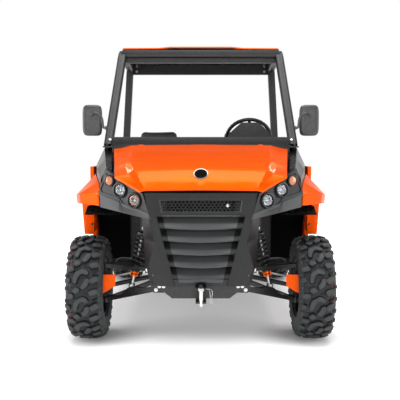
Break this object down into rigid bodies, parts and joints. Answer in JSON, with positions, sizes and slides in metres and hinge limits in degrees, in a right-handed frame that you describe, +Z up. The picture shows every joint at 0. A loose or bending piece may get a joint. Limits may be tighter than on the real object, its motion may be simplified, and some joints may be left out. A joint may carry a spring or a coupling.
{
  "type": "side by side utility vehicle",
  "caption": "Two-seat off-road utility vehicle with roll cage, roof, half doors and a tipping cargo bed.",
  "frame": {"origin": "on the ground under the middle of the vehicle's length and width", "axes": "+Z up, -Y the way the vehicle faces, +X its own left, where the driver sits"},
  "size_m": [1.62, 3.06, 1.949],
  "materials": {
    "orange_paint": "glossy moulded colour",
    "black_steel": "fine textured powder coat",
    "black_plastic": "grained",
    "frame_steel": "satin black",
    "tyre_rubber": "matt, with an orange line",
    "alloy_dark": "satin black",
    "cast_black": "painted black",
    "zinc": "zinc plated",
    "lamp_glass": "clear",
    "lamp_black": "gloss black bezel, bright bowl",
    "lamp_amber": "amber and clear",
    "lamp_red": "red",
    "seat_vinyl": "grained black vinyl",
    "shock_parts": "black springs, orange ring nuts",
    "radiator_core": "matt black",
    "hose_rubber": "braided light line"
  },
  "bodies": {
    "chassis": {"chassis_frame": "frame_steel", "skid_plate": "frame_steel", "front_bumper": "black_steel", "grille_mesh": "black_plastic", "radiator": "radiator_core", "tow_clevis": "zinc", "headlamp_panels": "black_plastic", "headlamps": "lamp_black", "headlamp_lenses": "lamp_glass", "indicators": "lamp_amber", "front_fenders": "orange_paint", "cowl_sides": "black_plastic", "arch_liners": "black_plastic", "cowl": "black_plastic", "dashboard": "black_plastic", "steering_column": "frame_steel", "floor_pan": "black_plastic", "seat_box": "black_plastic", "seat_cushions": "seat_vinyl", "seat_backs": "seat_vinyl", "roll_cage": "black_steel", "roof": "orange_paint", "mirrors": "black_plastic", "rear_fenders": "orange_paint", "rear_panel": "black_plastic", "tail_lamps": "lamp_red", "front_arms": "frame_steel", "rear_arms": "frame_steel", "front_shocks": "shock_parts", "rear_shocks": "shock_parts", "rear_knuckles": "cast_black", "front_drive": "cast_black", "rear_drive": "cast_black", "engine": "cast_black", "exhaust": "frame_steel", "steering_rack": "cast_black", "rear_hitch": "frame_steel", "brake_lines": "hose_rubber"},
    "bonnet": {"bonnet": "orange_paint"},
    "steering_wheel": {"steering_wheel": "black_plastic"},
    "tie_rods": {"tie_rods": "zinc"},
    "cargo_bed": {"cargo_bed": "black_steel"},
    "tailgate": {"tailgate": "black_steel"},
    "knuckle_left": {"knuckle_left": "cast_black", "knuckle_guard_left": "orange_paint"},
    "door_left": {"door_left": "orange_paint"},
    "wheel_front_left": {"tyre_front_left": "tyre_rubber", "rim_front_left": "alloy_dark"},
    "wheel_rear_left": {"tyre_rear_left": "tyre_rubber", "rim_rear_left": "alloy_dark"},
    "knuckle_right": {"knuckle_right": "cast_black", "knuckle_guard_right": "orange_paint"},
    "door_right": {"door_right": "orange_paint"},
    "wheel_front_right": {"tyre_front_right": "tyre_rubber", "rim_front_right": "alloy_dark"},
    "wheel_rear_right": {"tyre_rear_right": "tyre_rubber", "rim_rear_right": "alloy_dark"}
  },
  "joints": [
    {"name": "steer_left", "type": "hinge", "parent": "chassis", "child": "knuckle_left", "pos_m": [0.6, -1.04, 0.323], "axis": [0, 0, 1], "range_deg": [-30, 30]},
    {"name": "spin_front_left", "type": "hinge", "parent": "knuckle_left", "child": "wheel_front_left", "pos_m": [0.6955, -1.04, 0.323], "axis": [1, 0, 0], "continuous": true},
    {"name": "spin_rear_left", "type": "hinge", "parent": "chassis", "child": "wheel_rear_left", "pos_m": [0.67, 1.01, 0.323], "axis": [1, 0, 0], "continuous": true},
    {"name": "door_left_hinge", "type": "hinge", "parent": "chassis", "child": "door_left", "pos_m": [0.735, -0.565, 0.75], "axis": [0, 0, -1], "range_deg": [0, 70]},
    {"name": "steer_right", "type": "hinge", "parent": "chassis", "child": "knuckle_right", "pos_m": [-0.6, -1.04, 0.323], "axis": [0, 0, 1], "range_deg": [-30, 30]},
    {"name": "spin_front_right", "type": "hinge", "parent": "knuckle_right", "child": "wheel_front_right", "pos_m": [-0.6955, -1.04, 0.323], "axis": [1, 0, 0], "continuous": true},
    {"name": "spin_rear_right", "type": "hinge", "parent": "chassis", "child": "wheel_rear_right", "pos_m": [-0.67, 1.01, 0.323], "axis": [1, 0, 0], "continuous": true},
    {"name": "door_right_hinge", "type": "hinge", "parent": "chassis", "child": "door_right", "pos_m": [-0.735, -0.565, 0.75], "axis": [0, 0, 1], "range_deg": [0, 70]},
    {"name": "steering_wheel_turn", "type": "hinge", "parent": "chassis", "child": "steering_wheel", "pos_m": [0.361, -0.13, 1.272], "axis": [0, 0.8191, 0.5736], "range_deg": [-300, 300]},
    {"name": "rack_slide", "type": "slide", "parent": "chassis", "child": "tie_rods", "axis": [1, 0, 0], "range_m": [-0.0576, 0.0576]},
    {"name": "bonnet_hinge", "type": "hinge", "parent": "chassis", "child": "bonnet", "pos_m": [0, -0.761, 1.211], "axis": [-1, 0, 0], "range_deg": [0, 55]},
    {"name": "bed_tilt", "type": "hinge", "parent": "chassis", "child": "cargo_bed", "pos_m": [0, 1.38, 0.72], "axis": [-1, 0, 0], "range_deg": [0, 40]},
    {"name": "tailgate_hinge", "type": "hinge", "parent": "cargo_bed", "child": "tailgate", "pos_m": [0, 1.507, 0.798], "axis": [-1, 0, 0], "range_deg": [0, 90]}
  ],
  "couplings": [
    {"joint": "steer_right", "follows": "steer_left", "ratio": 1},
    {"joint": "steering_wheel_turn", "follows": "steer_left", "ratio": 10},
    {"joint": "rack_slide", "follows": "steer_left", "m_per_rad": -0.1098}
  ]
}
